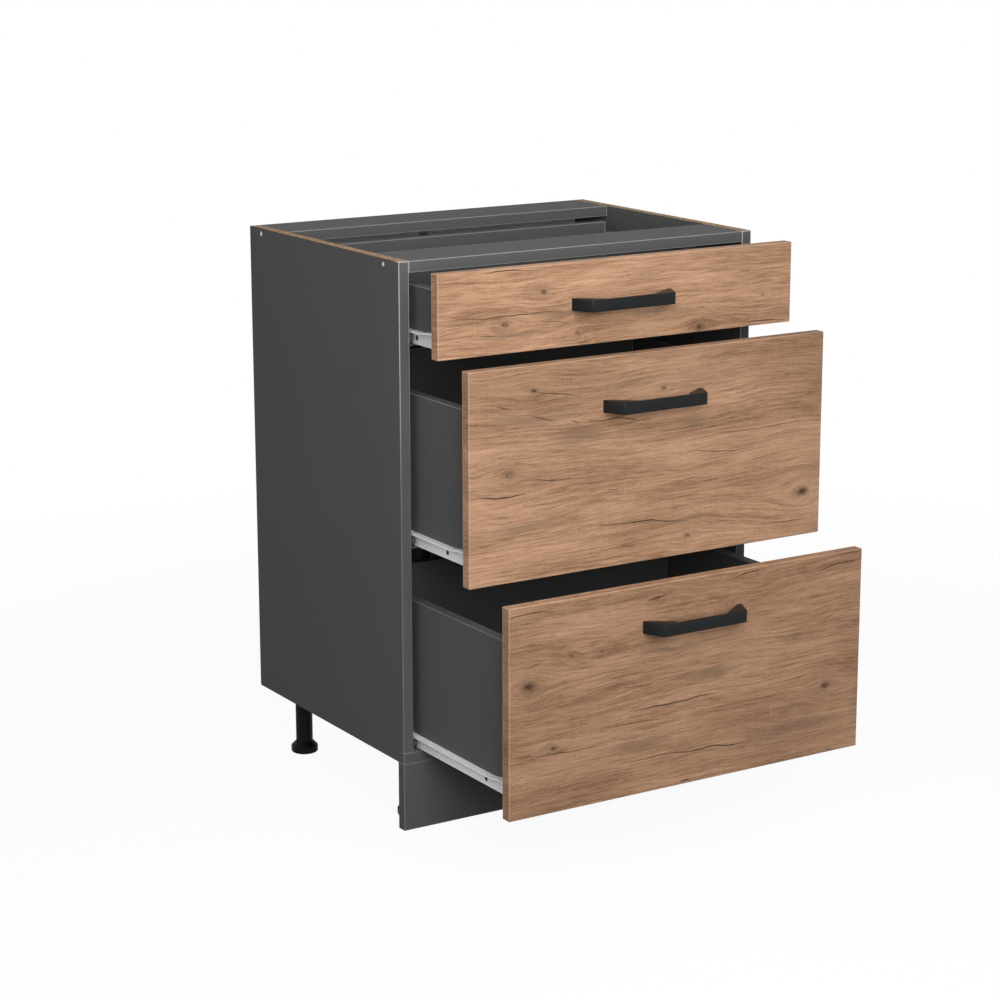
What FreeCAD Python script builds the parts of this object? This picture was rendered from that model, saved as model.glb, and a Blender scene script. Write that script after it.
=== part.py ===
import FreeCAD, Part
import math
import os

# Kitchen base cabinet with three drawers, standing on adjustable legs behind a plinth.
# Frame: +Z up, X to the viewer's right, Y towards the wall.
# Origin: on the floor, at mid-width, in the plane of the carcass's front edges.
# The drawers are modelled part way out, each by its own value in drawer_openings.

# ---- driving dimensions, mm ----
# carcass
carcass_width = 600.0
carcass_height = 720.0
side_depth = 446.0
board = 16.0
rail_depth = 92.0
edge_radius = 0.8
back_sheet = 3.0
back_inset = 1.0

# plastic strip that joins the two back sheets
strip_width = 15.0
strip_wall = 1.2
strip_flange = 1.0
strip_slack = 0.3

# legs and plinth
leg_height = 100.0
leg_inset_side = 45.0
leg_inset_front = 57.0
leg_inset_back = 56.0
tube_radius = 13.0
tube_groove_width = 3.2
tube_groove_depth = 0.8
spigot_radius = 10.3
spigot_length = 26.0
stem_radius = 8.0
stem_length = 42.0
stem_slack = 0.1
flange_radius = 29.0
flange_thickness = 3.5
foot_radius = 20.75
foot_height = 16.5
foot_rim_height = 10.0
foot_edge = 1.5
foot_lobes = 8
foot_notch_radius = 3.2
foot_notch_depth = 1.9
foot_gap = 0.5
leg_screw_circle = 21.0
plinth_thickness = 16.0
plinth_gap = 0.4
clip_wall = 3.0
clip_height = 14.0
clip_plate_width = 34.0
clip_plate_height = 40.0
clip_arm_width = 10.0
clip_centre_height = 50.0
clip_opening_angle = 110.0

# drawer fronts, from the top drawer down
front_heights = (117.0, 296.0, 296.0)
front_thickness = 16.0
front_gap = 3.0
front_side_reveal = 2.0
front_top_reveal = 5.0
front_radius = 1.5
closed_gap = 1.0

# drawer boxes
drawer_openings = (82.5, 161.0, 260.5)
box_clearance = 12.5
box_board = 16.0
box_length = 416.0
box_side_heights = (80.0, 215.0, 215.0)
box_edge_radius = 1.2

# roller runners; the rise is from the front's lower edge to the drawer profile
runner_rises = (6.0, 17.5, 18.5)
runner_length = 400.0
runner_setback = 2.0
runner_sheet = 1.2
drawer_profile_height = 19.5
drawer_profile_lip = 2.4
drawer_profile_overhang = 9.5
drawer_profile_seat = 11.2
ramp_rise = 3.0
ramp_start = 41.0
ramp_end = 64.0
lip_cut_length = 25.0
cabinet_profile_base = -1.5
cabinet_profile_height = 23.2
cabinet_profile_width = 10.4
cabinet_profile_flange = 8.0
cabinet_profile_lip = 4.0
lower_lip_start = 28.0
upper_flange_start = 73.0
roller_radius = 9.0
roller_gap = 0.1
pin_radius = 2.5
pin_clearance = 0.05
pin_setback = 12.0
# places across the gap, measured from the side panel's inner face
front_roller_span = (4.7, 9.7)
front_pin_shoulder = 3.2
front_pin_head = (3.4, 1.0)
back_roller_span = (3.4, 8.6)
back_pin_shoulder = 3.8
back_pin_head = (3.6, 0.4)
slot_position = 82.5
slot_height = 9.2
slot_radius = 2.6

# bow handles; the drop is from the front's upper edge to the handle's centre
handle_drops = (58.5, 68.0, 58.0)
handle_height = 17.0
handle_projection = 32.0
handle_hole_spacing = 160.0
handle_foot_width = 6.0
handle_foot_depth = 2.5
handle_grip_length = 140.0
handle_grip_thickness = 4.0
handle_bow_gap = 88.0
handle_leg_step = 5.0
handle_bend_radius = 3.0

# fasteners: head radius, head height, shank radius, shank length
carcass_screw = (3.5, 3.0, 2.5, 47.0)
leg_screw = (3.4, 2.0, 1.8, 17.0)
runner_screw = (3.2, 1.2, 1.6, 13.0)
box_screw = (3.2, 2.5, 1.8, 34.0)
front_screw = (3.6, 2.0, 1.8, 28.0)
handle_screw = (4.0, 2.4, 2.0, 35.5)
nail = (1.8, 0.6, 0.8, 15.0)
dowel_radius = 4.0
dowel_length = 30.0
dowel_in_side = 10.0
hole_slack = 0.05
rail_screw_front = 43.0
rail_screw_back = 35.0
rail_dowel_inset = 72.0
base_screw_inset = 60.0
base_dowel_inset = 130.0
corner_screw_inset = 15.0
base_board_screws = (150.0, 250.0, 350.0)
hole_row_front = 37.0
hole_row_pitch = 32.0
hole_row_end = 60.0
drawer_runner_screw_inset_front = 30.0
drawer_runner_screw_inset_back = 70.0
drawer_runner_screw_inset = 5.0
front_screw_inset = 55.0
nail_pitch = 110.0
nail_margin = 30.0

# ---- worked out from the values above ----
half_width = carcass_width / 2
half_inner = half_width - board
carcass_base = leg_height
carcass_top = carcass_base + carcass_height
floor_of_carcass = carcass_base + board
under_rails = carcass_top - board
box_outer_half = half_inner - box_clearance
box_inner_half = box_outer_half - box_board
web_outer = box_clearance - runner_sheet
sides = (("left", -1), ("right", 1))

made = {}


def keep(name, *pieces):
    """Add solids to a node; a node with several holds them side by side."""
    for piece in pieces:
        made.setdefault(name, []).extend(piece.Solids)


def block(x, y, z):
    """A box from three pairs of limits."""
    corner = FreeCAD.Vector(min(x), min(y), min(z))
    return Part.makeBox(max(x) - min(x), max(y) - min(y), max(z) - min(z), corner)


def rod(start, way, length, radius):
    return Part.makeCylinder(radius, length, FreeCAD.Vector(*start), FreeCAD.Vector(*way))


def moved(point, way, distance):
    return tuple(p + distance * w for p, w in zip(point, way))


def screw(size, seat, way, slack=0.0, reach=0.0):
    """A screw whose head's outer face is at seat; with slack and reach it is the hole for one."""
    head_radius, head_height, shank_radius, length = size
    head = rod(moved(seat, way, -reach), way, head_height + reach, head_radius + slack)
    shank = rod(seat, way, head_height + length + slack, shank_radius + slack)
    return head.fuse(shank).removeSplitter()


def drilled(shape, size, seats):
    """Cut the hole of each screw, given as a list of (seat, way)."""
    for seat, way in seats:
        shape = shape.cut(screw(size, seat, way, hole_slack, 1.0))
    return shape


def doweled(shape, places):
    for start, way in places:
        shape = shape.cut(rod(moved(start, way, -hole_slack), way, dowel_length + 2 * hole_slack,
                              dowel_radius + hole_slack))
    return shape


def softened(shape, radius, test):
    """Round the straight edges whose middle point passes the test."""
    edges = [edge for edge in shape.Edges if test(edge.CenterOfMass, edge)]
    return shape.makeFillet(radius, edges)


def runs_along(edge, axis):
    start, end = edge.Vertexes[0].Point, edge.Vertexes[-1].Point
    return abs(abs((end - start).normalize()[axis]) - 1) < 1e-6


def near(value, target):
    return abs(value - target) < 1e-6


# ---- carcass ----
def rail_fixings():
    """Screw seats and dowel starts at the ends of the two top rails."""
    level = carcass_top - board / 2
    screw_places, dowel_places = [], []
    for _, side in sides:
        way = (-side, 0, 0)
        for depth in (rail_screw_front, side_depth - rail_screw_back):
            screw_places.append(((side * half_width, depth, level), way))
        for depth in (rail_dowel_inset, side_depth - rail_dowel_inset):
            dowel_places.append(((side * (half_inner + dowel_in_side), depth, level), way))
    return screw_places, dowel_places


def base_fixings():
    """Screws driven up through the bottom panel into the sides, and the dowels beside them."""
    screw_places, dowel_places = [], []
    for _, side in sides:
        middle = side * (half_width - board / 2)
        for depth in (base_screw_inset, side_depth - base_screw_inset):
            screw_places.append(((middle, depth, carcass_base), (0, 0, 1)))
        for depth in (base_dowel_inset, side_depth - base_dowel_inset):
            dowel_places.append(((middle, depth, floor_of_carcass - dowel_in_side), (0, 0, 1)))
    return screw_places, dowel_places


def runner_base(number):
    """Height of the drawer profile's underside."""
    return front_base(number) + runner_rises[number]


def front_base(number):
    upper = sum(front_heights[:number + 1]) + number * front_gap
    return carcass_top - front_top_reveal - upper


def cabinet_runner_seats(side):
    """Countersunk screws through the cabinet profiles into one side panel's rows of holes."""
    seats = []
    last = int((runner_length - hole_row_end) // hole_row_pitch)
    rows = [hole_row_front + step * hole_row_pitch for step in (0, last // 2, last)]
    for number in range(len(front_heights)):
        level = runner_base(number) + back_roller_centre
        for depth in rows:
            seats.append(((side * (half_inner - runner_sheet), depth, level), (side, 0, 0)))
    return seats


def nail_places():
    """Nails round the edge of the back, each driven towards the front."""
    depth = side_depth + back_sheet + nail[1]
    places = []
    count = int((carcass_height - 2 * nail_margin) // nail_pitch) + 1
    pitch = (carcass_height - 2 * nail_margin) / (count - 1)
    for _, side in sides:
        for step in range(count):
            level = carcass_base + nail_margin + step * pitch
            places.append(((side * (half_width - board / 2), depth, level), (0, -1, 0)))
        for level in (carcass_base + board / 2, carcass_top - board / 2):
            for across in (1, 3):
                places.append(((side * across * nail_pitch / 2, depth, level), (0, -1, 0)))
    return places


def make_carcass():
    rail_screws, rail_dowels = rail_fixings()
    base_screws, base_dowels = base_fixings()
    nails = nail_places()
    front_edges = lambda c, e: near(c.y, 0) and (runs_along(e, 0) or runs_along(e, 2))

    for name, side in sides:
        panel = block((side * half_inner, side * half_width), (0, side_depth),
                      (floor_of_carcass, carcass_top))
        panel = softened(panel, edge_radius, lambda c, e: near(c.y, 0) and runs_along(e, 2))
        panel = drilled(panel, carcass_screw, rail_screws + base_screws)
        panel = doweled(panel, rail_dowels + base_dowels)
        panel = drilled(panel, runner_screw, cabinet_runner_seats(side))
        keep("side_panel_" + name, drilled(panel, nail, nails))

    bottom = block((-half_width, half_width), (0, side_depth), (carcass_base, floor_of_carcass))
    bottom = softened(bottom, edge_radius, front_edges)
    bottom = doweled(drilled(bottom, carcass_screw, base_screws), base_dowels)
    bottom = drilled(bottom, leg_screw, leg_screw_seats())
    keep("bottom_panel", drilled(bottom, nail, nails))

    for name, depths in (("front", (0, rail_depth)), ("back", (side_depth - rail_depth, side_depth))):
        rail = block((-half_inner, half_inner), depths, (under_rails, carcass_top))
        rail = softened(rail, edge_radius, lambda c, e: near(c.y, min(depths)) and runs_along(e, 0))
        rail = doweled(drilled(rail, carcass_screw, rail_screws), rail_dowels)
        keep("top_rail_" + name, drilled(rail, nail, nails))

    keep("carcass_screws", *[screw(carcass_screw, *place) for place in rail_screws + base_screws])
    keep("carcass_dowels", *[rod(start, way, dowel_length, dowel_radius)
                             for start, way in rail_dowels + base_dowels])
    keep("back_nails", *[screw(nail, *place) for place in nails])


def make_back():
    depths = (side_depth, side_depth + back_sheet)
    levels = (carcass_base + back_inset, carcass_top - back_inset)
    for name, side in sides:
        sheet = block((side * (strip_wall / 2 + strip_slack), side * (half_width - back_inset)),
                      depths, levels)
        keep("back_sheet_" + name, drilled(sheet, nail, nail_places()))
    wall = block((-strip_wall / 2, strip_wall / 2), depths, levels)
    outer = block((-strip_width / 2, strip_width / 2),
                  (depths[1], depths[1] + strip_flange), levels)
    inner_levels = (floor_of_carcass + strip_slack, under_rails - strip_slack)
    inner = block((-strip_width / 2, strip_width / 2), (depths[0] - strip_flange, depths[0]),
                  inner_levels)
    keep("back_joint_strip", outer.fuse([wall, inner]).removeSplitter())


# ---- legs and plinth ----
def leg_centres():
    for name, side in sides:
        across = side * (half_width - leg_inset_side)
        yield "front_" + name, across, leg_inset_front
        yield "back_" + name, across, side_depth - leg_inset_back


def leg_screw_seats():
    """Four screws up through each leg's flange into the bottom panel."""
    level = carcass_base - flange_thickness - leg_screw[1]
    reach = leg_screw_circle / math.sqrt(2)
    return [((across + a * reach, depth + b * reach, level), (0, 0, 1))
            for _, across, depth in leg_centres() for a in (-1, 1) for b in (-1, 1)]


def leg_tube(across, depth):
    low = foot_height + foot_gap
    high = carcass_base - flange_thickness
    up = (0, 0, 1)
    tube = rod((across, depth, low), up, high - low, tube_radius)
    tube = tube.cut(rod((across, depth, low), up, high - low, stem_radius + stem_slack))
    socket_floor = high - spigot_length - hole_slack
    tube = tube.cut(rod((across, depth, socket_floor), up, high - socket_floor,
                        spigot_radius + hole_slack))
    inner = tube_radius - tube_groove_depth
    half = tube_groove_width / 2
    for a, b in ((1, 0), (-1, 0), (0, 1), (0, -1)):
        xs = (across + a * inner, across + a * tube_radius) if a else (across - half, across + half)
        ys = (depth + b * inner, depth + b * tube_radius) if b else (depth - half, depth + half)
        tube = tube.cut(block(xs, ys, (low, high)))
    return tube


def leg_foot(across, depth):
    """A knurled foot on a plain stem that stands in the tube's nut."""
    outline = [(0, 0), (foot_radius - foot_edge, 0), (foot_radius, foot_edge),
               (foot_radius, foot_rim_height), (tube_radius + foot_edge, foot_height),
               (0, foot_height), (0, 0)]
    wire = Part.makePolygon([FreeCAD.Vector(x, 0, z) for x, z in outline])
    foot = Part.Face(wire).revolve(FreeCAD.Vector(), FreeCAD.Vector(0, 0, 1), 360)
    ring = foot_radius + foot_notch_radius - foot_notch_depth
    for lobe in range(foot_lobes):
        angle = 2 * math.pi * (lobe + 0.5) / foot_lobes - math.pi / 2
        place = (ring * math.cos(angle), ring * math.sin(angle), 0)
        foot = foot.cut(rod(place, (0, 0, 1), foot_height, foot_notch_radius))
    foot = foot.fuse(rod((0, 0, foot_height), (0, 0, 1), stem_length, stem_radius))
    foot = foot.removeSplitter()
    foot.translate(FreeCAD.Vector(across, depth, 0))
    return foot


def plinth_clip(across):
    """A snap ring round a front leg, joined by an arm to a plate on the plinth's back."""
    low = clip_centre_height - clip_height / 2
    inner = tube_radius + hole_slack
    ring = rod((across, leg_inset_front, low), (0, 0, 1), clip_height, inner + clip_wall)
    arm = block((across - clip_arm_width / 2, across + clip_arm_width / 2),
                (plinth_thickness, leg_inset_front), (low, low + clip_height))
    plate = block((across - clip_plate_width / 2, across + clip_plate_width / 2),
                  (plinth_thickness, plinth_thickness + clip_wall),
                  (clip_centre_height - clip_plate_height / 2,
                   clip_centre_height + clip_plate_height / 2))
    clip = ring.fuse([arm, plate])
    clip = clip.cut(rod((across, leg_inset_front, low), (0, 0, 1), clip_height, inner))
    reach = 2 * (inner + clip_wall)
    half = math.radians(clip_opening_angle / 2)
    mouth = [(0, 0), (reach * math.sin(half), reach * math.cos(half)),
             (-reach * math.sin(half), reach * math.cos(half)), (0, 0)]
    wire = Part.makePolygon([FreeCAD.Vector(across + x, leg_inset_front + y, low)
                             for x, y in mouth])
    clip = clip.cut(Part.Face(wire).extrude(FreeCAD.Vector(0, 0, clip_height)))
    return clip.removeSplitter()


def make_legs():
    for name, across, depth in leg_centres():
        high = carcass_base - flange_thickness
        flange = rod((across, depth, high), (0, 0, 1), flange_thickness, flange_radius)
        spigot = rod((across, depth, high - spigot_length), (0, 0, 1), spigot_length, spigot_radius)
        socket = flange.fuse(spigot).removeSplitter()
        keep("leg_sockets", drilled(socket, leg_screw, leg_screw_seats()))
        keep("leg_tubes", leg_tube(across, depth))
        keep("foot_" + name, leg_foot(across, depth))
    keep("leg_screws", *[screw(leg_screw, *seat) for seat in leg_screw_seats()])

    plinth = block((-half_width, half_width), (0, plinth_thickness), (0, leg_height - plinth_gap))
    upright = lambda c, e: runs_along(e, 2) or (near(c.y, 0) and c.z > plinth_gap)
    keep("plinth_board", softened(plinth, edge_radius, upright))
    for _, side in sides:
        keep("plinth_clips", plinth_clip(side * (half_width - leg_inset_side)))


# ---- runners ----
# sections are drawn with s, the distance from the side panel's inner face, and the height
# above the drawer profile's underside
cabinet_profile_top = cabinet_profile_base + cabinet_profile_height
back_roller_centre = cabinet_profile_base + runner_sheet + roller_gap + roller_radius
front_roller_centre = drawer_profile_height - runner_sheet - roller_gap - roller_radius


def section(points, side, base, depth):
    """A closed wire across the runner at one depth."""
    corners = [FreeCAD.Vector(side * (half_inner - s), depth, base + z) for s, z in points]
    return Part.makePolygon(corners + corners[:1])


def pin_with_head(side, depth, level, root, span, shoulder, head):
    """A pin from its profile's web at root, with a shoulder before the roller and a head after."""
    outward = 1 if span[0] >= root else -1
    near_end, far_end = span if outward > 0 else span[::-1]
    way = (-side * outward, 0, 0)
    at = lambda s: (side * (half_inner - s), depth, level)
    shoulder_length = abs(near_end - root) - roller_gap
    length = abs(far_end - root) + roller_gap
    pin = rod(at(root), way, length, pin_radius)
    collar = rod(at(root), way, shoulder_length, shoulder)
    cap = rod(at(far_end + outward * roller_gap), way, head[1], head[0])
    return [pin, collar, cap]


def cabinet_profile(side, base):
    low, high, sheet = cabinet_profile_base, cabinet_profile_top, runner_sheet
    points = [(0, low), (cabinet_profile_width, low),
              (cabinet_profile_width, low + cabinet_profile_lip),
              (cabinet_profile_width - sheet, low + cabinet_profile_lip),
              (cabinet_profile_width - sheet, low + sheet), (sheet, low + sheet),
              (sheet, high - sheet), (cabinet_profile_flange, high - sheet),
              (cabinet_profile_flange, high), (0, high)]
    wire = section(points, side, base, runner_setback)
    shape = Part.Face(wire).extrude(FreeCAD.Vector(0, runner_length, 0))
    # the lower lip and the upper flange both stop short of the front end
    inner = side * (half_inner - sheet)
    open_side = side * (half_inner - box_clearance)
    shape = shape.cut(block((inner, open_side), (runner_setback, runner_setback + lower_lip_start),
                            (base + low + sheet, base + low + cabinet_profile_lip)))
    shape = shape.cut(block((inner, open_side),
                            (runner_setback, runner_setback + upper_flange_start),
                            (base + high - sheet, base + high)))
    shape = shape.fuse(pin_with_head(side, runner_setback + pin_setback,
                                     base + front_roller_centre, sheet, front_roller_span,
                                     front_pin_shoulder, front_pin_head)).removeSplitter()
    return drilled(shape, runner_screw, cabinet_runner_seats(side))


def drawer_section(side, base, depth, rise, lip=True):
    left = box_clearance - drawer_profile_overhang
    sheet, high = runner_sheet, drawer_profile_height + rise
    lip_low = high - drawer_profile_lip
    foot = web_outer + drawer_profile_seat
    points = [(web_outer, 0), (foot, 0), (foot, sheet), (box_clearance, sheet),
              (box_clearance, high), (left, high)]
    if lip:
        points += [(left, lip_low), (left + sheet, lip_low), (left + sheet, high - sheet)]
    else:
        points += [(left, high - sheet)]
    points += [(web_outer, high - sheet)]
    return section(points, side, base, depth)


def drawer_profile(side, base, front):
    """The drawer's profile: its upper flange rises towards the front, so the drawer shuts itself."""
    lip_end = runner_length - lip_cut_length
    pieces = []
    for rise, lip, start, end in ((ramp_rise, True, 0, ramp_start), (0, True, ramp_end, lip_end),
                                  (0, False, lip_end, runner_length)):
        face = Part.Face(drawer_section(side, base, front + start, rise, lip))
        pieces.append(face.extrude(FreeCAD.Vector(0, end - start, 0)))
    pieces.append(Part.makeLoft([drawer_section(side, base, front + ramp_start, ramp_rise),
                                 drawer_section(side, base, front + ramp_end, 0)], True, True))
    pieces += pin_with_head(side, front + runner_length - pin_setback, base + back_roller_centre,
                            web_outer, back_roller_span, back_pin_shoulder, back_pin_head)
    shape = pieces[0].fuse(pieces[1:]).removeSplitter()
    slot = rod((side * (half_inner - web_outer), front + slot_position, base + slot_height),
               (-side, 0, 0), runner_sheet, slot_radius)
    return shape.cut(slot)


def roller(side, depth, level, span):
    start = (side * (half_inner - span[0]), depth, level)
    length = span[1] - span[0]
    wheel = rod(start, (-side, 0, 0), length, roller_radius)
    return wheel.cut(rod(start, (-side, 0, 0), length, pin_radius + pin_clearance))


def drawer_runner_seats(side, base, front):
    """Screws up through the profile's lower flange into the drawer side."""
    across = side * (box_outer_half - drawer_runner_screw_inset)
    first, last = drawer_runner_screw_inset_front, runner_length - drawer_runner_screw_inset_back
    return [((across, front + along, base), (0, 0, 1))
            for along in (first, (first + last) / 2, last)]


# ---- drawers ----
def bow_handle(level, face):
    """A strap grip on two wedge legs, seen from above as a shallow bow."""
    reach, grip = handle_projection, handle_projection - handle_grip_thickness
    foot = handle_hole_spacing / 2
    half = [(foot + handle_foot_width / 2, 0), (foot + handle_foot_width / 2, handle_foot_depth),
            (handle_grip_length / 2, reach)]
    inner = [(handle_bow_gap / 2, grip), (handle_bow_gap / 2, grip - handle_leg_step),
             (foot - handle_foot_width / 2, 0)]
    outline = half + [(-x, y) for x, y in reversed(half)]
    outline += [(-x, y) for x, y in reversed(inner)] + inner
    corners = [FreeCAD.Vector(x, face - y, level - handle_height / 2) for x, y in outline]
    bow = Part.Face(Part.makePolygon(corners + corners[:1]))
    bow = bow.extrude(FreeCAD.Vector(0, 0, handle_height))
    bends = lambda c, e: runs_along(e, 2) and near(c.y, face - reach)
    return softened(bow, handle_bend_radius, bends)


def make_drawer(number):
    name = "drawer_%d_" % (number + 1)
    base = runner_base(number)
    low, height = front_base(number), front_heights[number]
    side_height = box_side_heights[number]
    back_face = -closed_gap - drawer_openings[number]
    face = back_face - front_thickness
    box_back = back_face + box_length
    board_base = base + runner_sheet
    wall_base = board_base + box_board
    handle_level = low + height - handle_drops[number]

    # fixings, each a list of (seat, way)
    corner_screws, base_screws = [], []
    for _, side in sides:
        way = (-side, 0, 0)
        for depth in (back_face + box_board / 2, box_back - box_board / 2):
            for level in (wall_base + corner_screw_inset,
                          board_base + side_height - corner_screw_inset):
                corner_screws.append(((side * box_outer_half, depth, level), way))
        for along in base_board_screws:
            base_screws.append(((side * box_outer_half, back_face + along,
                                 board_base + box_board / 2), way))
    inner_face = back_face + box_board
    front_screws = [((a * (box_inner_half - front_screw_inset), inner_face + front_screw[1],
                      wall_base + side_height / 2 + b * (side_height / 2 - corner_screw_inset)),
                     (0, -1, 0)) for a in (-1, 1) for b in (-1, 1)]
    handle_screws = [((a * handle_hole_spacing / 2, inner_face + handle_screw[1], handle_level),
                      (0, -1, 0)) for a in (-1, 1)]

    panel = block((-half_width + front_side_reveal, half_width - front_side_reveal),
                  (face, back_face), (low, low + height))
    panel = softened(panel, front_radius, lambda c, e: near(c.y, face) or runs_along(e, 1))
    panel = drilled(drilled(panel, front_screw, front_screws), handle_screw, handle_screws)
    keep(name + "front", panel)

    top_edges = lambda c, e: runs_along(e, 1) and near(c.z, board_base + side_height)
    for side_name, side in sides:
        wall = block((side * box_inner_half, side * box_outer_half), (back_face, box_back),
                     (board_base, board_base + side_height))
        wall = softened(wall, box_edge_radius, top_edges)
        wall = drilled(wall, box_screw, corner_screws + base_screws)
        wall = drilled(wall, runner_screw, drawer_runner_seats(side, base, back_face))
        keep(name + "side_" + side_name, wall)
        profile = drawer_profile(side, base, back_face)
        keep(name + "runners", drilled(profile, runner_screw,
                                       drawer_runner_seats(side, base, back_face)))
        keep(name + "screws", *[screw(runner_screw, *seat)
                                for seat in drawer_runner_seats(side, base, back_face)])
        keep(name + "rollers", roller(side, back_face + runner_length - pin_setback,
                                      base + back_roller_centre, back_roller_span))
        keep("cabinet_runners_%d" % (number + 1), cabinet_profile(side, base))
        keep("cabinet_rollers_%d" % (number + 1),
             roller(side, runner_setback + pin_setback, base + front_roller_centre,
                    front_roller_span))

    floor = block((-box_inner_half, box_inner_half), (back_face, box_back),
                  (board_base, wall_base))
    keep(name + "bottom", drilled(floor, box_screw, base_screws))
    upper = lambda c, e: runs_along(e, 0) and near(c.z, wall_base + side_height)
    for part, depths in (("box_front", (back_face, inner_face)),
                         ("back", (box_back - box_board, box_back))):
        wall = block((-box_inner_half, box_inner_half), depths,
                     (wall_base, wall_base + side_height))
        wall = softened(wall, box_edge_radius, upper)
        wall = drilled(wall, box_screw, corner_screws)
        wall = drilled(drilled(wall, front_screw, front_screws), handle_screw, handle_screws)
        keep(name + part, wall)

    keep(name + "handle", drilled(bow_handle(handle_level, face), handle_screw, handle_screws))
    keep(name + "handle_screws", *[screw(handle_screw, *place) for place in handle_screws])
    keep(name + "screws", *[screw(box_screw, *place) for place in corner_screws + base_screws],
         *[screw(front_screw, *place) for place in front_screws])


make_carcass()
make_back()
make_legs()
for drawer in range(len(front_heights)):
    make_drawer(drawer)
for _, side in sides:
    keep("runner_screws", *[screw(runner_screw, *seat) for seat in cabinet_runner_seats(side)])

os.makedirs("parts", exist_ok=True)
for node, solids in made.items():
    shape = solids[0] if len(solids) == 1 else Part.makeCompound(solids)
    shape.exportStep("parts/" + node + ".step")
print(len(made), "nodes,", sum(len(solids) for solids in made.values()), "solids")
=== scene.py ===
import math
import bpy
import bmesh
from mathutils import Matrix, Vector


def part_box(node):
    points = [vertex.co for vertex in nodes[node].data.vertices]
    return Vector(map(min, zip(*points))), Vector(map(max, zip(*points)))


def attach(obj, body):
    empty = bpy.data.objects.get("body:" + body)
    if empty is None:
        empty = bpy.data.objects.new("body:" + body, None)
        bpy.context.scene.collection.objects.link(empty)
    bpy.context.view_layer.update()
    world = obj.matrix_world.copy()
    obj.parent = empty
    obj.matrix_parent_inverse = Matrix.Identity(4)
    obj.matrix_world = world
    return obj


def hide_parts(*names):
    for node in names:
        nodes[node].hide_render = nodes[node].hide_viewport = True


# Kitchen base cabinet with three drawers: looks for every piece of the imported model.
# Lengths are in metres, in the part's frame; +X is the viewer's right and +Z is up.

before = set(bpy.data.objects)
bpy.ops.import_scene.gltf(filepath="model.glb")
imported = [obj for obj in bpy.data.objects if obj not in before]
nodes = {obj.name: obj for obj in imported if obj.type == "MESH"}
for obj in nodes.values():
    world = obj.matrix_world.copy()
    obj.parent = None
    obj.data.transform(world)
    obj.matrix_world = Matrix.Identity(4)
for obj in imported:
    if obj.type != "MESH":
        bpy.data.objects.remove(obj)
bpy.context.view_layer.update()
MM = 0.001
drawers = (1, 2, 3)


# ---- shader building ----
class Tone:
    """A value in a material. Arithmetic on it adds Math nodes."""

    def __init__(self, finish, socket):
        self.finish = finish
        self.socket = socket

    def maths(self, operation, *values, clamp=False):
        return self.finish.node("ShaderNodeMath", {"operation": operation, "use_clamp": clamp},
                                dict(enumerate(values)))

    def __add__(self, other):
        return self.maths("ADD", self, other)

    __radd__ = __add__

    def __sub__(self, other):
        return self.maths("SUBTRACT", self, other)

    def __rsub__(self, other):
        return self.maths("SUBTRACT", other, self)

    def __mul__(self, other):
        return self.maths("MULTIPLY", self, other)

    __rmul__ = __mul__

    def __truediv__(self, other):
        return self.maths("DIVIDE", self, other)

    def __rtruediv__(self, other):
        return self.maths("DIVIDE", other, self)

    def __pow__(self, other):
        return self.maths("POWER", self, other)

    def __abs__(self):
        return self.maths("ABSOLUTE", self)

    def below(self, other):
        return self.maths("MINIMUM", self, other)

    def above(self, other):
        return self.maths("MAXIMUM", self, other)

    def clamped(self):
        return self.maths("ADD", self, 0.0, clamp=True)

    def sine(self):
        return self.maths("SINE", self)

    def step(self, start, end):
        """0 at start, 1 at end, smooth between them."""
        return self.finish.node("ShaderNodeMapRange", {"interpolation_type": "SMOOTHSTEP"},
                                {"Value": self, "From Min": start, "From Max": end})


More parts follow.
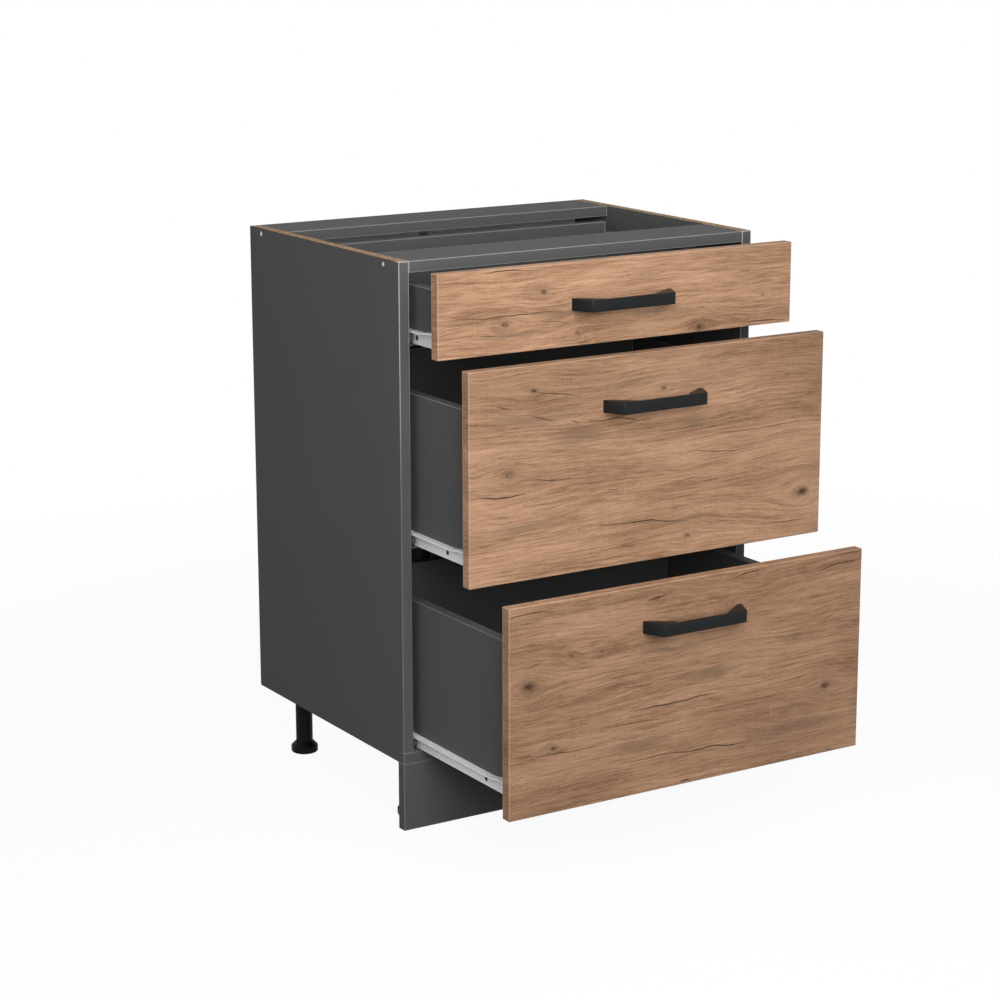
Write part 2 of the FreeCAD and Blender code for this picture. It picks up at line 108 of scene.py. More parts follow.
class Finish:
    """A material under construction."""

    def __init__(self, name, **constants):
        self.material = bpy.data.materials.new(name)
        self.material.use_nodes = True
        self.tree = self.material.node_tree
        self.tree.nodes.clear()
        self.shader = self.tree.nodes.new("ShaderNodeBsdfPrincipled")
        self.output = self.tree.nodes.new("ShaderNodeOutputMaterial")
        self.tree.links.new(self.shader.outputs[0], self.output.inputs["Surface"])
        for socket, value in constants.items():
            self.set(socket.replace("_", " "), value)

    def node(self, kind, settings=None, sockets=None, out=0):
        """Add a node: its settings first, then the values or links of its sockets."""
        made = self.tree.nodes.new(kind)
        for setting, value in (settings or {}).items():
            if setting == "stops":
                while len(made.color_ramp.elements) < len(value):
                    made.color_ramp.elements.new(1.0)
                for element, (place, colour) in zip(made.color_ramp.elements, value):
                    element.position = place
                    element.color = (*colour, 1.0)
            else:
                setattr(made, setting, value)
        for key, value in (sockets or {}).items():
            self.feed(made.inputs[key], value)
        return Tone(self, made.outputs[out])

    def feed(self, socket, value):
        if isinstance(value, Tone):
            self.tree.links.new(value.socket, socket)
        elif isinstance(value, tuple) and len(value) == 3 and socket.type == "RGBA":
            socket.default_value = (*value, 1.0)
        else:
            socket.default_value = value

    def set(self, socket, value):
        self.feed(self.shader.inputs[socket], value)

    def place(self):
        return self.node("ShaderNodeTexCoord", out="Object")

    def parts(self, vector):
        made = self.tree.nodes.new("ShaderNodeSeparateXYZ")
        self.feed(made.inputs[0], vector)
        return [Tone(self, socket) for socket in made.outputs]

    def point(self, x, y, z):
        return self.node("ShaderNodeCombineXYZ", None, {0: x, 1: y, 2: z})

    def noise(self, vector, scale, detail=2.0, roughness=0.5, distortion=0.0):
        return self.node("ShaderNodeTexNoise", None, {
            "Vector": vector, "Scale": scale, "Detail": detail, "Roughness": roughness,
            "Distortion": distortion})

    def grain(self, x, y, z, detail=2.0, roughness=0.5):
        """Noise whose fineness along each axis is in the coordinates themselves."""
        return self.noise(self.point(x, y, z), 1.0, detail, roughness)

    def mixed(self, first, second, factor, blend="MIX"):
        return self.node("ShaderNodeMix", {"data_type": "RGBA", "blend_type": blend},
                         {0: factor, 6: first, 7: second}, out=2)

    def relief(self, height, strength, distance):
        """A bump that feeds the shader's normal."""
        bump = self.node("ShaderNodeBump", None,
                         {"Height": height, "Strength": strength, "Distance": distance})
        self.set("Normal", bump)


def grey(level):
    return (level, level, level)


# ---- finishes ----
# graphite melamine: its grey, the width of the painted highlight along a board's edges, how far
# behind the front an upright board keeps it, and the heights between which the painted highlight
# gets brighter
GRAPHITE = 0.104
EDGE_HIGHLIGHT_WIDTH = 1.5 * MM
HIGHLIGHT_KEPT, HIGHLIGHT_GONE = 4 * MM, 20 * MM
HIGHLIGHT_DULL, HIGHLIGHT_BRIGHT = 0.45, 0.75
# a side panel's bare top: the chips' size, the edge tape round them and the depth they reach
CHIP = 2.4 * MM
EDGE_TAPE = 1.6 * MM
BARE_DEPTH = 1 * MM


def edge_lines(finish, x, y, z, box, width):
    """1 along the edges of a board, falling to 0 within width of them."""
    low, high = box
    total = None
    for value, start, end in zip((x, y, z), low, high):
        close = (1.0 - (value - start).below(end - value) / width).clamped()
        total = close if total is None else total + close
    return (total - 1.0).clamped()


def chipboard(finish, at):
    """Pressed wood chips: light and dark flakes with gaps."""
    cells = finish.node("ShaderNodeTexVoronoi", None,
                        {"Vector": at, "Scale": 1 / CHIP, "Randomness": 1.0}, out="Color")
    chips = finish.parts(cells)[0]
    grain = finish.noise(at, 900.0, 4.0, 0.7)
    tone = finish.node("ShaderNodeValToRGB", {"stops": [
        (0.0, (0.12, 0.06, 0.028)), (0.25, (0.32, 0.19, 0.10)), (0.6, (0.50, 0.33, 0.20)),
        (1.0, (0.68, 0.52, 0.36))]}, {0: chips * 0.75 + grain * 0.45 - 0.1})
    return tone, chips * 0.5 + grain


def graphite(name, box, raw_top=False, upright=False):
    """Melamine faced board with a painted highlight along its edges that grows brighter higher up:
    upright keeps that only at the front, raw_top bares its upper edge.
    """
    finish = Finish("graphite_" + name, Specular_IOR_Level=0.012)
    at = finish.place()
    x, y, z = finish.parts(at)
    cloud = finish.noise(at, 6.0, 3.0)
    fleck = finish.noise(at, 1500.0, 2.0, 0.6)
    tone = finish.mixed(grey(GRAPHITE * 0.9), grey(GRAPHITE * 1.1), cloud * 0.6 + fleck * 0.4)
    # painted highlight: a pale line along the board's edges, brighter towards the top, in place of
    # the light that the edges catch
    lines = edge_lines(finish, x, y, z, box, EDGE_HIGHLIGHT_WIDTH)
    if upright:
        lines = lines * (1.0 - y.step(HIGHLIGHT_KEPT, HIGHLIGHT_GONE))
    brightest = 7.0 if upright else 4.2
    painted_highlight = finish.mixed(grey(GRAPHITE * 2.4), grey(GRAPHITE * brightest),
                         z.step(HIGHLIGHT_DULL, HIGHLIGHT_BRIGHT))
    tone = finish.mixed(tone, painted_highlight, lines * 0.8)
    height = fleck
    rough = 0.44 + 0.12 * fleck
    if raw_top:
        facing_up = finish.parts(finish.node("ShaderNodeTexCoord", out="Normal"))[2].step(0.7, 0.9)
        raw = facing_up * (z - (box[1].z - BARE_DEPTH)).step(0.0, BARE_DEPTH / 2)
        raw = raw * (1.0 - edge_lines(finish, x, y, z, box, EDGE_TAPE))
        chips, chip_height = chipboard(finish, at)
        tone = finish.mixed(tone, chips, raw)
        height = fleck + raw * chip_height * 2.0
        rough = rough + raw * 0.35
    finish.set("Base Color", tone)
    finish.set("Roughness", rough)
    finish.relief(height, 0.22, 0.06 * MM)
    return finish.material


# depth of the bare rear of a back sheet, and the width over which the lacquer ends
BARE_REAR, LACQUER_END = 1.2 * MM, 0.4 * MM


def back_sheet(name, box):
    """Hardboard: lacquered grey inside, bare brown fibre behind."""
    finish = Finish("hardboard_" + name, Specular_IOR_Level=0.3)
    at = finish.place()
    y = finish.parts(at)[1]
    fibre = finish.noise(at, 700.0, 5.0, 0.7)
    cloud = finish.noise(at, 5.0, 3.0)
    lacquer = finish.mixed(grey(0.56), grey(0.62), cloud)
    brown = finish.mixed((0.15, 0.075, 0.035), (0.27, 0.15, 0.075), fibre * 0.7 + cloud * 0.3)
    behind = (y - (box[1].y - BARE_REAR)).step(0.0, LACQUER_END)
    finish.set("Base Color", finish.mixed(lacquer, brown, behind))
    finish.set("Roughness", 0.5 + 0.3 * behind)
    finish.relief(fibre, 0.3, 0.1 * MM)
    return finish.material


# grain of each front, in millimetres: knots as (x, z, radius), cracks as (x, z, half length,
# rise per length, half width) and smoky streaks as (x, z, half length, half height); tone is
# the share of the decor's brightness at the lower and the upper edge, and seed moves the noise
FRONT_GRAIN = {
    1: {"knots": [(-129, 778, 6), (-192, 738, 8), (135, 705, 9), (-74, 716, 4), (247, 742, 3)],
        "cracks": [(-180, 749, 96, -0.01, 0.8), (-190, 810, 46, -0.02, 0.7),
                   (245, 704, 48, 0.0, 0.7), (-219, 725, 17, -0.15, 0.6),
                   (-109, 735, 26, -0.02, 0.5), (-65, 703, 10, 0.0, 0.6)],
        "smoke": [(-100, 745, 55, 6), (-180, 722, 60, 7), (60, 735, 90, 8)],
        "tone": (0.93, 0.93), "seed": 3.1},
    2: {"knots": [(-234, 549, 8), (266, 464, 15), (18, 642, 5), (62, 426, 6), (-195, 660, 6),
                  (40, 468, 3)],
        "cracks": [(-251, 521, 46, -0.05, 1.1), (-14, 455, 84, -0.07, 1.0),
                   (-55, 607, 56, -0.10, 0.9), (113, 543, 56, -0.03, 0.6),
                   (-168, 534, 48, -0.06, 0.6), (232, 423, 42, 0.03, 0.6),
                   (-181, 622, 22, -0.27, 0.8), (-127, 610, 10, -0.14, 0.7),
                   (-242, 641, 14, -0.15, 0.6), (-155, 653, 38, -0.17, 0.6),
                   (59, 507, 33, -0.05, 0.5), (201, 568, 95, -0.04, 0.4),
                   (42, 581, 40, 0.0, 0.5), (-66, 507, 12, -0.1, 0.6)],
        "smoke": [(-200, 622, 95, 12), (71, 585, 36, 13), (-205, 475, 62, 9),
                  (-40, 655, 70, 6), (-120, 590, 60, 14), (60, 452, 60, 5)],
        "tone": (0.95, 0.72), "seed": 7.7},
    3: {"knots": [(-268, 284, 14), (236, 202, 10), (-228, 191, 6), (-60, 375, 5),
                  (-198, 317, 3), (-150, 315, 4)],
        "cracks": [(-28, 222, 82, 0.01, 1.0), (-265, 384, 37, -0.02, 0.9),
                   (28, 145, 90, -0.07, 1.0), (-110, 206, 55, -0.01, 0.6),
                   (-60, 375, 18, 0.1, 1.1), (-71, 149, 33, 0.01, 0.5),
                   (-210, 183, 78, 0.0, 0.6), (-259, 312, 15, 0.13, 0.5),
                   (94, 389, 32, 0.08, 0.8), (243, 377, 60, 0.10, 0.7),
                   (-7, 105, 12, 0.2, 0.8), (-103, 255, 41, -0.04, 0.5)],
        "smoke": [(31, 255, 70, 10), (-85, 173, 56, 12), (170, 285, 30, 5),
                  (180, 150, 110, 14), (-40, 300, 70, 6)],
        "tone": (0.74, 0.74), "seed": 12.3},
}


OAK_TONES = [(0.0, (0.175, 0.090, 0.050)), (0.26, (0.300, 0.166, 0.096)),
             (0.48, (0.425, 0.244, 0.144)), (0.72, (0.540, 0.318, 0.196)),
             (1.0, (0.640, 0.398, 0.258))]
OAK_SMOKE = (0.22, 0.145, 0.098)
OAK_PORE = (0.14, 0.070, 0.038)
OAK_KNOT = (0.075, 0.043, 0.027)
OAK_CRACK = (0.055, 0.033, 0.022)
# painted highlight along a front's edges: its pale tone and its width
OAK_EDGE_HIGHLIGHT = (0.66, 0.45, 0.32)
OAK_EDGE_HIGHLIGHT_WIDTH = 1.8 * MM
KNOT_STRETCH = 1.7


def knots(finish, x, z, line, grain):
    """The grain lines once they bend round the knots, and the knots' shade."""
    total = None
    for across, up, radius in grain["knots"]:
        dx = (x - across) / (radius * KNOT_STRETCH)
        dz = (z - up) / radius
        wobble = finish.grain(x * 0.09, grain["seed"], z * 0.12)
        reach = (dx * dx + dz * dz) ** 0.5 + (wobble - 0.5) * 1.1
        pull = 1.0 / (1.0 + reach * reach * 0.35)
        line = line - dz * (radius * 0.9) * pull
        rings = (reach * 6.0).sine()
        core = 1.0 - reach.step(0.1, 1.0)
        halo = 1.0 - reach.step(0.4, 2.8)
        patch = 0.35 + 1.3 * wobble.step(0.3, 0.7)
        shade = core * (0.6 + 0.25 * rings) * patch + halo * 0.24
        total = shade if total is None else total + shade
    return line, total


def smoke(finish, x, z, grain):
    """Soft dark streaks along the grain."""
    total = None
    drift = finish.grain(x * 0.02, grain["seed"], z * 0.05, 3.0)
    for across, up, half_length, half_height in grain["smoke"]:
        dx = (x - across) / half_length
        dz = (z - up + (drift - 0.5) * 26.0) / half_height
        veil = (1.0 - (dx * dx + dz * dz) ** 0.5).clamped()
        total = veil if total is None else total.above(veil)
    return total


def cracks(finish, x, z, grain):
    """Thin splits that taper to both ends and wander with the grain."""
    total = None
    bend = finish.grain(x * 0.016, grain["seed"], z * 0.01, 1.0)
    tear = finish.grain(x * 0.06, grain["seed"], z * 0.01)
    for across, up, half_length, rise, half_width in grain["cracks"]:
        along = (x - across) / half_length
        away = abs(z - up - (x - across) * rise - (bend - 0.5) * 14.0 - (tear - 0.5) * 1.5)
        width = (1.0 - along * along).above(0.0) * half_width * (0.5 + 1.5 * tear) + 0.01
        split = (1.0 - away / width).clamped() * (1.0 - abs(along)).step(0.0, 0.12)
        total = split if total is None else total.above(split)
    return total


def oak(name, box, grain):
    """Oak decor with the grain along X: rings that bend round knots, pores, cracks and smoke."""
    finish = Finish("oak_" + name, Specular_IOR_Level=0.15)
    x, y, z = [axis / MM for axis in finish.parts(finish.place())]
    seed = grain["seed"]
    # slow waves of the grain lines, then the bulges round the knots
    wave = finish.grain(x * 0.0035 + seed, y * 0.004, z * 0.011)
    ripple = finish.grain(x * 0.014, y * 0.01 + seed, z * 0.03)
    line = z + (wave - 0.5) * 30.0 + (ripple - 0.5) * 2.6
    line, knot_shade = knots(finish, x, z, line, grain)
    # tones along the grain, from broad clouds to fine fibres
    cloud = finish.grain(x * 0.005, y * 0.02 + seed, line * 0.026, 3.0)
    band = finish.grain(x * 0.010 + seed, y * 0.02, line * 0.12, 3.0, 0.6)
    vein = finish.grain(x * 0.010, y * 0.05 + seed, line * 0.34, 3.0, 0.6)
    fibre = finish.grain(x * 0.035, y * 0.2 + seed, line * 0.72, 3.0, 0.7)
    pores = finish.grain(x * 0.075, y * 0.5, line * 0.95 + seed, 3.0, 0.7)
    speckle = finish.grain(x * 0.5, y * 0.5 + seed, z * 0.9, 2.0, 0.6)
    # flamed figure and cross weave, each only in some places
    flame = (line * 0.95 + cloud * 16.0 + band * 3.0).sine()
    flame_place = finish.grain(x * 0.009, seed, z * 0.018, 1.0).step(0.5, 0.68)
    weave = finish.grain(x * 0.55, seed, z * 0.025, 1.0)
    weave_place = finish.grain(x * 0.012, seed + 5.0, z * 0.02, 1.0).step(0.45, 0.7)
    value = (cloud * 0.85 + band * 0.60 + vein * 0.85 + fibre * 1.10 + speckle * 0.40 - 1.40
             + flame * flame_place * 0.08 + (weave - 0.5) * weave_place * 0.22)
    tone = finish.node("ShaderNodeValToRGB", {"stops": OAK_TONES}, {0: value})
    # smoke, pores, knots and cracks darken it
    streaks = (smoke(finish, x, z, grain) * 1.4).clamped() * (0.1 + 0.7 * band + 0.8 * fibre)
    pore = pores.step(0.56, 0.68) * (0.35 + 0.65 * (1.0 - fibre))
    splits = cracks(finish, x, z, grain)
    for colour, amount in ((OAK_SMOKE, streaks * 0.62), (OAK_PORE, pore * 0.62),
                           (OAK_KNOT, knot_shade * 0.72), (OAK_CRACK, splits * 1.5)):
        tone = finish.mixed(tone, colour, amount.clamped())
    # overall brightness from the lower to the upper edge, then a pale painted highlight along the
    # edges
    height = (z * MM - box[0].z) / (box[1].z - box[0].z)
    lower, upper = grain["tone"]
    tone = finish.mixed(tone, finish.mixed(grey(lower), grey(upper), height), 1.0, blend="MULTIPLY")
    lines = edge_lines(finish, x * MM, y * MM, z * MM, box, OAK_EDGE_HIGHLIGHT_WIDTH)
    finish.set("Base Color", finish.mixed(tone, OAK_EDGE_HIGHLIGHT, lines * 0.5))
    finish.set("Roughness", 0.56 + 0.12 * fibre)
    finish.relief(fibre * 0.5 - pore - splits * 3.0 - knot_shade * 0.5, 0.25, 0.15 * MM)
    return finish.material


def powder_coat(name, colour, rough, grain_size=0.5 * MM, shine=0.5):
    """Sprayed coat with a faint orange peel."""
    finish = Finish(name, Specular_IOR_Level=shine)
    at = finish.place()
    peel = finish.noise(at, 1 / grain_size, 3.0, 0.5)
    cloud = finish.noise(at, 12.0, 2.0)
    darker = tuple(channel * 0.93 for channel in colour)
    finish.set("Base Color", finish.mixed(darker, colour, cloud * 0.5 + peel * 0.5))
    finish.set("Roughness", rough - 0.05 + 0.1 * peel)
    finish.relief(peel, 0.2, 0.05 * MM)
    return finish.material


# a drawer runner's slot: its place behind and above the box corner, and the radii between which
# the painted shade round it ends
SLOT_BEHIND, SLOT_ABOVE = 82.5 * MM, 9.2 * MM
SLOT_PAINTED_SHADE, SLOT_PAINTED_SHADE_END = 3.3 * MM, 4.1 * MM


def runner_coat(name, box):
    """White coat of a drawer's runners, with painted shade: black over its slot and a dark rim
    round it.
    """
    finish = Finish(name + "_white", Specular_IOR_Level=0.5)
    at = finish.place()
    y, z = finish.parts(at)[1:]
    peel = finish.noise(at, 2000.0, 3.0, 0.5)
    along = y - (box[0].y + SLOT_BEHIND)
    up = z - (box[0].z + SLOT_ABOVE)
    # painted shade: black in the slot and round its rim, where the hole lies in shade
    shade = 1.0 - ((along * along + up * up) ** 0.5).step(SLOT_PAINTED_SHADE, SLOT_PAINTED_SHADE_END)
    tone = finish.mixed(grey(0.86), grey(0.92), peel)
    finish.set("Base Color", finish.mixed(tone, grey(0.008), shade))
    finish.set("Roughness", 0.28 + 0.1 * peel)
    finish.relief(peel, 0.2, 0.05 * MM)
    return finish.material


SPARK = 0.35 * MM


def moulded(name, colour, rough, shine=0.4):
    """Moulded plastic with a sparked surface."""
    finish = Finish(name, Specular_IOR_Level=shine)
    at = finish.place()
    spark = finish.noise(at, 1 / SPARK, 2.0, 0.6)
    flow = finish.noise(at, 40.0, 2.0, 0.5, 0.6)
    lighter = tuple(channel * 1.3 for channel in colour)
    finish.set("Base Color", finish.mixed(colour, lighter, flow * 0.6 + spark * 0.4))
    finish.set("Roughness", rough - 0.08 + 0.16 * spark)
    finish.relief(spark, 0.35, 0.04 * MM)
    return finish.material


def zinc(name):
    """Bright zinc plate with turned marks and a slightly yellow passivation."""
    finish = Finish(name, Metallic=1.0)
    at = finish.place()
    stain = finish.noise(at, 260.0, 3.0)
    finish.set("Base Color", finish.mixed((0.50, 0.49, 0.46), (0.72, 0.71, 0.68), stain))
    finish.set("Roughness", 0.28 + 0.2 * stain)
    finish.relief(finish.noise(at, 1400.0, 2.0), 0.15, 0.03 * MM)
    return finish.material


def beech(name):
    """Turned dowel with fine short rays along X."""
    finish = Finish(name, Specular_IOR_Level=0.3)
    x, y, z = finish.parts(finish.place())
    rays = finish.noise(finish.point(x * 90.0, y * 900.0, z * 900.0), 1.0, 3.0)
    finish.set("Base Color", finish.mixed((0.48, 0.30, 0.16), (0.66, 0.46, 0.28), rays))
    finish.set("Roughness", 0.6 + 0.15 * rays)
    finish.relief(rays, 0.3, 0.1 * MM)
    return finish.material


GREY_COAT = powder_coat("grey_epoxy", (0.085, 0.085, 0.088), 0.45)
BLACK_COAT = powder_coat("black_coat", (0.016, 0.0165, 0.017), 0.36, 0.35 * MM, 0.07)
NYLON = moulded("white_nylon", (0.70, 0.69, 0.66), 0.42)
BLACK_PLASTIC = moulded("black_plastic", (0.005, 0.005, 0.0055), 0.40, 0.08)
GREY_PLASTIC = moulded("grey_plastic", (0.23, 0.23, 0.235), 0.5)
ZINC = zinc("zinc_plate")
BEECH = beech("beech_dowel")


def finish_node(name, material):
    slots = nodes[name].data.materials
    for index in range(len(slots)):
        slots[index] = material
    if not slots:
        slots.append(material)


def dress_cad_nodes():
    for name in nodes:
        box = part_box(name)
        if name.startswith("side_panel"):
            finish_node(name, graphite(name, box, raw_top=True, upright=True))
        elif name.startswith("back_sheet"):
            finish_node(name, back_sheet(name, box))
        elif name.endswith("_front") and name[:-6] in ["drawer_%d" % n for n in drawers]:
            finish_node(name, oak(name, box, FRONT_GRAIN[int(name[7])]))
        elif name.startswith("cabinet_r"):
            finish_node(name, GREY_COAT)
        elif "rollers" in name:
            finish_node(name, NYLON)
        elif "runners" in name:
            finish_node(name, runner_coat(name, box))
        elif "screws" in name or "nails" in name:
            finish_node(name, ZINC)
        elif name == "carcass_dowels":
            finish_node(name, BEECH)
        elif name == "back_joint_strip":
            finish_node(name, GREY_PLASTIC)
        elif name.startswith(("leg_", "foot_")) or name == "plinth_clips":
            finish_node(name, BLACK_PLASTIC)
        elif name.endswith("_handle"):
            finish_node(name, BLACK_COAT)
        else:
            finish_node(name, graphite(name, box, upright=name == "bottom_panel"))


# ---- modelled pieces ----
def finished_piece(name, form, material, body, *stands_for, smooth=40.0):
    """Turn a bmesh into a piece that rides on a body in place of its CAD node."""
    mesh = bpy.data.meshes.new(name)
    form.to_mesh(mesh)
    form.free()
    mesh.materials.append(material)
    for face in mesh.polygons:
        face.use_smooth = True
    mesh.set_sharp_from_angle(angle=math.radians(smooth))
    piece = bpy.data.objects.new(name, mesh)
    bpy.context.scene.collection.objects.link(piece)
    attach(piece, body)
    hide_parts(*stands_for)
    return piece


# bow handle, seen from above: a leg's width and straight lip at the front, the strap's thickness,
# the half widths of the strap and of the opening, and the opening's shoulder with its draft
HANDLE_FOOT, HANDLE_LIP, HANDLE_GRIP = 6 * MM, 2.5 * MM, 4 * MM
HANDLE_BEND, HANDLE_GAP = 70 * MM, 44 * MM
HANDLE_SHOULDER, HANDLE_DRAFT = 5 * MM, 0.5 * MM
# roundings of its bends and edges, which stop this far from the front
BEND_ROUND, EDGE_ROUND = 2.6 * MM, 0.6 * MM
CRISP_FOOT = 3 * MM
SHARP = math.radians(25)
SAME_POINT = 1e-6


def bow_handle(number):
    """Cast bow: a strap between two wedge legs, its edges rounded as they come from the mould."""
    node = "drawer_%d_handle" % number
    low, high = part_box(node)
    reach = high.y - low.y
    half = (high.x - low.x) / 2
    under = reach - HANDLE_GRIP
    outer = [(half, 0), (half, HANDLE_LIP), (HANDLE_BEND, reach)]
    inner = [(HANDLE_GAP, under), (HANDLE_GAP + HANDLE_DRAFT, under - HANDLE_SHOULDER),
             (half - HANDLE_FOOT, 0)]
    outline = outer + [(-a, b) for a, b in reversed(outer)]
    outline += [(-a, b) for a, b in reversed(inner)] + inner
    form = bmesh.new()
    face = form.faces.new([form.verts.new((a, high.y - b, low.z)) for a, b in outline])
    grown = bmesh.ops.extrude_face_region(form, geom=[face])
    lifted = [item for item in grown["geom"] if isinstance(item, bmesh.types.BMVert)]
    bmesh.ops.translate(form, verts=lifted, vec=(0, 0, high.z - low.z))
    bmesh.ops.recalc_face_normals(form, faces=form.faces)
    bends = [edge for edge in form.edges
             if all(abs(v.co.y - low.y) < SAME_POINT for v in edge.verts)
             and abs(edge.verts[0].co.z - edge.verts[1].co.z) > SAME_POINT]
    bmesh.ops.bevel(form, geom=bends, offset=BEND_ROUND, affect="EDGES", segments=4, profile=0.5,
                    material=-1)
    free = [edge for edge in form.edges
            if len(edge.link_faces) == 2 and edge.calc_face_angle() > SHARP
            and any(high.y - v.co.y > CRISP_FOOT for v in edge.verts)]
    bmesh.ops.bevel(form, geom=free, offset=EDGE_ROUND, affect="EDGES", segments=2, profile=0.5,
                    material=-1)
    return finished_piece("bow_handle_%d" % number, form, BLACK_COAT, "drawer_%d" % number, node)


def loose_parts(node):
    """The separate solids of a CAD node, each as a list of its points."""
    form = bmesh.new()
    form.from_mesh(nodes[node].data)
    bmesh.ops.remove_doubles(form, verts=form.verts, dist=SAME_POINT)
    seen, solids = set(), []
    for first in form.verts:
        if first in seen:
            continue
        group, waiting = [], [first]
        seen.add(first)
        while waiting:
            vertex = waiting.pop()
            group.append(vertex.co.copy())
            for edge in vertex.link_edges:
                other = edge.other_vert(vertex)
                if other not in seen:
                    seen.add(other)
                    waiting.append(other)
        solids.append(group)
    form.free()
    return solids


class Screw:
    """A screw or nail as its CAD solid gives it: place, the way its head points and sizes."""

    def __init__(self, points):
        low = Vector([min(p[i] for p in points) for i in range(3)])
        high = Vector([max(p[i] for p in points) for i in range(3)])
        self.centre = (low + high) / 2
        self.axis = max(range(3), key=lambda i: high[i] - low[i])
        ends = {1: high[self.axis], -1: low[self.axis]}
        radii = {end: max(self.off_axis(p) for p in points if abs(p[self.axis] - level) < 1e-5)
                 for end, level in ends.items()}
        self.head_end = 1 if radii[1] > radii[-1] else -1
        self.head, self.shank = radii[self.head_end], radii[-self.head_end]
        self.length = ends[1] - ends[-1]
        self.tip = ends[-self.head_end]
        top = ends[self.head_end]
        self.neck = max((p[self.axis] - top) * -self.head_end for p in points
                        if self.off_axis(p) > (self.head + self.shank) / 2)

    def off_axis(self, point):
        return math.hypot(*[point[i] - self.centre[i] for i in range(3) if i != self.axis])

    def place(self, form):
        """Turn a form that stands on its tip along +Z to the screw's own place."""
        aim = Vector((0, 0, 0))
        aim[self.axis] = self.head_end
        foot = self.centre.copy()
        foot[self.axis] = self.tip
        turned = Vector((0, 0, 1)).rotation_difference(aim).to_matrix().to_4x4()
        bmesh.ops.transform(form, matrix=Matrix.Translation(foot) @ turned, verts=form.verts)


def grow(form, face):
    """Extrude a face in place; gives the new face and its points."""
    grown = bmesh.ops.extrude_face_region(form, geom=[face])["geom"]
    bmesh.ops.delete(form, geom=[face], context="FACES_KEEP_BOUNDARY")
    raised = [item for item in grown if isinstance(item, bmesh.types.BMFace)][0]
    return raised, [item for item in grown if isinstance(item, bmesh.types.BMVert)]


def turned_screw(screw):
    """Tip, shank and rounded head, ring by ring from the tip, which stands at the origin."""
    form = bmesh.new()
    point = 1.2 * screw.shank
    made = bmesh.ops.create_circle(form, cap_ends=True, segments=24, radius=0.55 * screw.shank)
    face = next(iter(form.faces))
    for radius, rise in ((screw.shank, point), (screw.shank, screw.length - screw.neck - point),
                         (screw.head, 0.0), (screw.head, screw.neck)):
        face, ring = grow(form, face)
        for vertex in ring:
            scale = radius / math.hypot(vertex.co.x, vertex.co.y)
            vertex.co = Vector((vertex.co.x * scale, vertex.co.y * scale, vertex.co.z + rise))
    bmesh.ops.contextual_create(form, geom=made["verts"])
    bmesh.ops.bevel(form, geom=list(face.edges), offset=min(0.25 * screw.head, 0.7 * screw.neck),
                    affect="EDGES", segments=2, profile=0.5, material=-1)
    return form


def recess_radius(angle, kind, size):
    """Outline of a driver's recess, as a distance from the axis."""
    if kind == "hex":
        return size / math.cos((angle % (math.pi / 3)) - math.pi / 6) * math.cos(math.pi / 6)
    quarter = (angle + math.pi / 12) % (math.pi / 2)
    return size if quarter < math.pi / 6.5 else size * 0.36


# a driver's recess: its reach in head radii, how much it narrows, and its greatest depth
RECESS_REACH = {"hex": 0.52, "cross": 0.6}
RECESS_TAPER = 0.8
RECESS_DEPTH = 1.6 * MM


def sink_recess(form, screw, kind):
    """Sink a hexagon or a cross into the top of a head."""
    face = max(form.faces, key=lambda f: (round(f.calc_center_median().z, 7), len(f.verts)))
    bmesh.ops.inset_region(form, faces=[face], thickness=0.2 * screw.head)
    size = screw.head * RECESS_REACH[kind]
    for vertex in face.verts:
        angle = math.atan2(vertex.co.y, vertex.co.x) % (2 * math.pi)
        scale = recess_radius(angle, kind, size) / math.hypot(vertex.co.x, vertex.co.y)
        vertex.co.x *= scale
        vertex.co.y *= scale
    for vertex in grow(form, face)[1]:
        vertex.co.x *= RECESS_TAPER
        vertex.co.y *= RECESS_TAPER
        vertex.co.z -= min(0.75 * screw.neck, RECESS_DEPTH)


def add_screw(form, points, kind):
    """Add one detailed screw, or a nail without a recess, where its CAD solid is."""
    screw = Screw(points)
    local = turned_screw(screw)
    if kind:
        sink_recess(local, screw, kind)
    screw.place(local)
    bmesh.ops.recalc_face_normals(local, faces=local.faces)
    part = bpy.data.meshes.new("screw_part")
    local.to_mesh(part)
    local.free()
    form.from_mesh(part)
    bpy.data.meshes.remove(part)


def dress_screws(node, body, kind):
    form = bmesh.new()
    for points in loose_parts(node):
        add_screw(form, points, kind)
    return finished_piece("detailed_" + node, form, ZINC, body, node, smooth=35.0)


dress_cad_nodes()
for number in drawers:
    bow_handle(number)
    dress_screws("drawer_%d_handle_screws" % number, "drawer_%d" % number, "cross")
    dress_screws("drawer_%d_screws" % number, "drawer_%d" % number, "cross")
dress_screws("carcass_screws", "cabinet", "hex")
dress_screws("leg_screws", "cabinet", "cross")
dress_screws("runner_screws", "cabinet", "cross")
dress_screws("back_nails", "cabinet", None)


# ---- stage, light and camera ----
# floor, in metres: half its side, and the distances from the part between which it whitens
FLOOR_HALF = 12.0
FLOOR_NEAR, FLOOR_FAR = 0.9, 2.2
# share of pure white in what the camera sees of the floor near the part; the rest holds the shadow
FLOOR_WHITE = 0.94
AMBIENT = 0.27
# name, watts, size, stand and aim in metres
SOFTBOXES = (("key", 19.0, 1.3, (-0.40, -1.30, 1.36), (0.0, -0.1, 0.7)),
             ("fill", 46.0, 1.5, (-1.4, -3.1, 1.35), (0.0, 0.0, 0.6)),
             ("left", 9.0, 1.5, (-2.0, -0.4, 1.7), (-0.3, 0.1, 0.7)),
             ("right", 9.0, 1.6, (2.4, 0.8, 2.0), (0.3, 0.2, 0.5)))


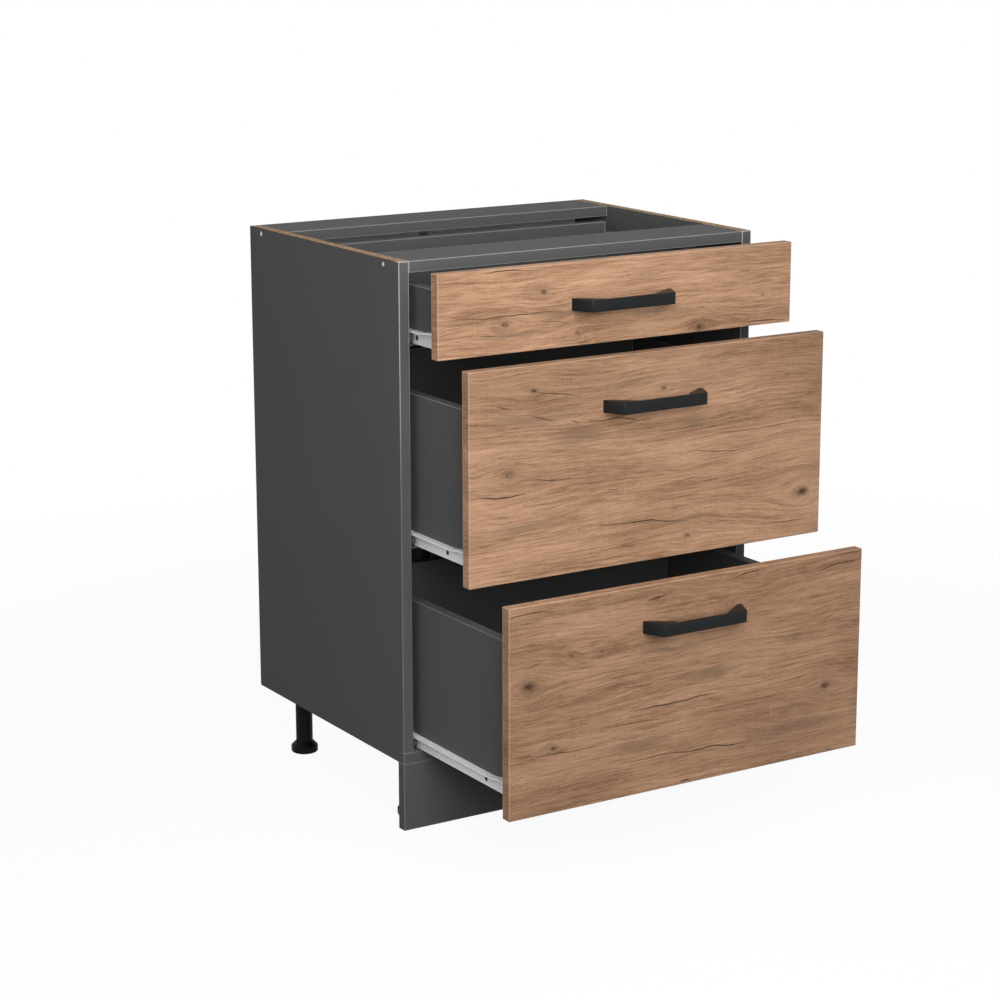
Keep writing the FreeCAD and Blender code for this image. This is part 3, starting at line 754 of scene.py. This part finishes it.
def lay_floor():
    """Pale floor: dark grey to the light that bounces off it, near white to the camera."""
    floor = bpy.data.meshes.new("floor")
    form = bmesh.new()
    bmesh.ops.create_grid(form, x_segments=1, y_segments=1, size=FLOOR_HALF)
    form.to_mesh(floor)
    form.free()
    ground = bpy.data.objects.new("floor", floor)
    bpy.context.scene.collection.objects.link(ground)
    pale = Finish("pale_floor", Roughness=1.0, Specular_IOR_Level=0.0)
    seen, mirrored, through = [pale.node("ShaderNodeLightPath", out="Is %s Ray" % kind)
                               for kind in ("Camera", "Glossy", "Transmission")]
    x, y = pale.parts(pale.place())[:2]
    away = ((x * x + y * y) ** 0.5).step(FLOOR_NEAR, FLOOR_FAR)
    pale.set("Base Color", pale.mixed(grey(0.20), grey(0.9), seen))
    glow = pale.node("ShaderNodeEmission", None, {"Color": (1.0, 1.0, 1.0), "Strength": 1.0})
    white = FLOOR_WHITE + (1.0 - FLOOR_WHITE) * away
    blend = pale.node("ShaderNodeMixShader", None,
                      {0: seen.above(mirrored).above(through) * white,
                       1: Tone(pale, pale.shader.outputs[0]), 2: glow})
    pale.tree.links.new(blend.socket, pale.output.inputs["Surface"])
    floor.materials.append(pale.material)


def white_room():
    """White room to the camera, mirrors and glass; a weak even light to everything else."""
    world = bpy.data.worlds.new("studio")
    bpy.context.scene.world = world
    world.use_nodes = True
    tree = world.node_tree
    tree.nodes.clear()
    path = tree.nodes.new("ShaderNodeLightPath")
    choose = tree.nodes.new("ShaderNodeMixShader")
    out = tree.nodes.new("ShaderNodeOutputWorld")
    for place, strength in ((1, AMBIENT), (2, 1.0)):
        air = tree.nodes.new("ShaderNodeBackground")
        air.inputs["Color"].default_value = (1, 1, 1, 1)
        air.inputs["Strength"].default_value = strength
        tree.links.new(air.outputs[0], choose.inputs[place])
    shown = path.outputs["Is Camera Ray"]
    for kind in ("Is Glossy Ray", "Is Transmission Ray"):
        either = tree.nodes.new("ShaderNodeMath")
        either.operation = "MAXIMUM"
        tree.links.new(shown, either.inputs[0])
        tree.links.new(path.outputs[kind], either.inputs[1])
        shown = either.outputs[0]
    tree.links.new(shown, choose.inputs[0])
    tree.links.new(choose.outputs[0], out.inputs["Surface"])


def set_softboxes():
    for name, power, size, stand, aim in SOFTBOXES:
        lamp = bpy.data.lights.new(name, "AREA")
        lamp.energy = power
        lamp.size = size
        softbox = bpy.data.objects.new(name, lamp)
        softbox.location = stand
        softbox.rotation_mode = "QUATERNION"
        softbox.rotation_quaternion = (Vector(aim) - Vector(stand)).to_track_quat("-Z", "Y")
        bpy.context.scene.collection.objects.link(softbox)


# camera: place in metres, angles in radians, and focal length in frame widths
CAMERA_PLACE = (-2.0582, -3.0730, 1.3377)
CAMERA_YAW = 0.5585
CAMERA_PITCH = 0.2359
CAMERA_ROLL = -0.0017
CAMERA_FOCAL = 2.6202


def place_camera():
    data = bpy.data.cameras.new("camera")
    data.sensor_width = 36.0
    data.lens = CAMERA_FOCAL * data.sensor_width
    data.clip_end = 50.0
    camera = bpy.data.objects.new("camera", data)
    bpy.context.scene.collection.objects.link(camera)
    ahead = Vector((math.sin(CAMERA_YAW) * math.cos(CAMERA_PITCH),
                    math.cos(CAMERA_YAW) * math.cos(CAMERA_PITCH), -math.sin(CAMERA_PITCH)))
    camera.rotation_mode = "QUATERNION"
    level = ahead.to_track_quat("-Z", "Y")
    camera.rotation_quaternion = level @ Matrix.Rotation(CAMERA_ROLL, 3, "Z").to_quaternion()
    camera.location = CAMERA_PLACE
    bpy.context.scene.camera = camera


lay_floor()
white_room()
set_softboxes()
place_camera()
bpy.context.scene.view_settings.view_transform = "Standard"
